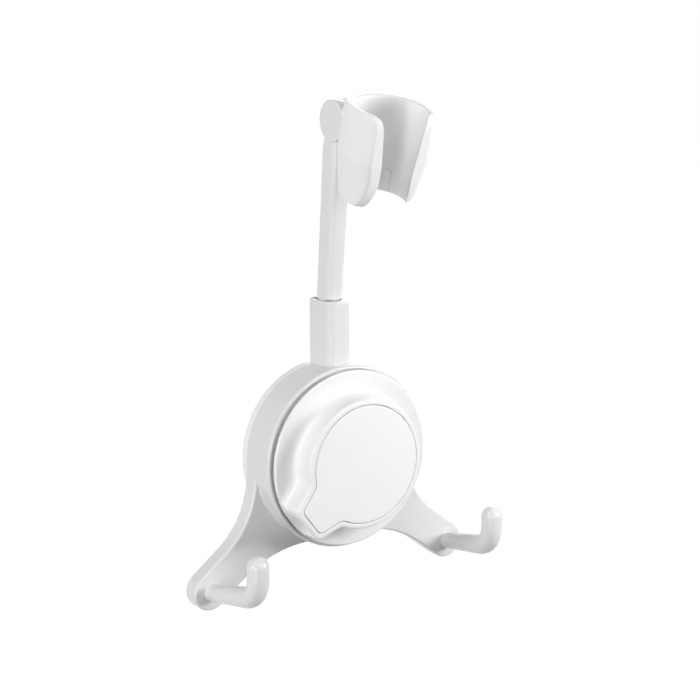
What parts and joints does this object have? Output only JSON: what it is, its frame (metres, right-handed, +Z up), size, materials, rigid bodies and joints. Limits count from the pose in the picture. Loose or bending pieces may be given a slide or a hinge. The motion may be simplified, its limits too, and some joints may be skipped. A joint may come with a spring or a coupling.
{
  "type": "shower head holder",
  "caption": "White suction-mounted hand-shower holder: twist-lock drum with splayed hook legs, upright swivel arm and a tilting C-shaped cradle.",
  "frame": {"origin": "centre of the suction pad's flat back, on the wall plane", "axes": "+Z up along the arm, +Y into the wall, +X to the right as seen from the front"},
  "size_m": [0.1476, 0.0694, 0.2295],
  "materials": {
    "white_plastic": "glossy moulded",
    "cover_plastic": "smooth gloss",
    "grey_plastic": "satin",
    "acetal": "satin",
    "soft_pad": "soft, half clear",
    "rubber_ring": "matt",
    "steel": "bright",
    "brass": "bright"
  },
  "bodies": {
    "bracket": {"bracket_body": "white_plastic", "suction_pad": "soft_pad", "left_hook": "white_plastic", "right_hook": "white_plastic", "left_hook_screw": "steel", "right_hook_screw": "steel", "thrust_washer": "acetal", "swivel_bush": "acetal", "swivel_clip": "acetal"},
    "knob": {"knob_shell": "white_plastic", "cam_ring": "acetal", "indicator_cover": "cover_plastic"},
    "stud": {"pad_stud": "acetal", "cross_pin": "steel"},
    "arm": {"upright_arm": "white_plastic", "swivel_ring": "rubber_ring", "pivot_screw": "steel", "pivot_insert": "brass", "spring_washer": "steel", "screw_cap": "white_plastic", "left_friction_washer": "grey_plastic", "right_friction_washer": "grey_plastic"},
    "cradle": {"holder_cradle": "white_plastic"}
  },
  "joints": [
    {"name": "knob_twist", "type": "hinge", "parent": "bracket", "child": "knob", "pos_m": [0, 0, 0], "axis": [0, 1, 0], "range_deg": [0, 90]},
    {"name": "stud_pull", "type": "slide", "parent": "bracket", "child": "stud", "axis": [0, -1, 0], "range_m": [0, 0.0035], "deforming": ["suction_pad"]},
    {"name": "arm_swivel", "type": "hinge", "parent": "bracket", "child": "arm", "pos_m": [0, -0.0107, 0.07], "axis": [0, 0, 1], "range_deg": [-60, 60]},
    {"name": "cradle_tilt", "type": "hinge", "parent": "arm", "child": "cradle", "pos_m": [0, -0.0216, 0.1518], "axis": [1, 0, 0], "range_deg": [-45, 15]}
  ],
  "couplings": [
    {"joint": "stud_pull", "follows": "knob_twist", "m_per_rad": 0.0022282}
  ]
}
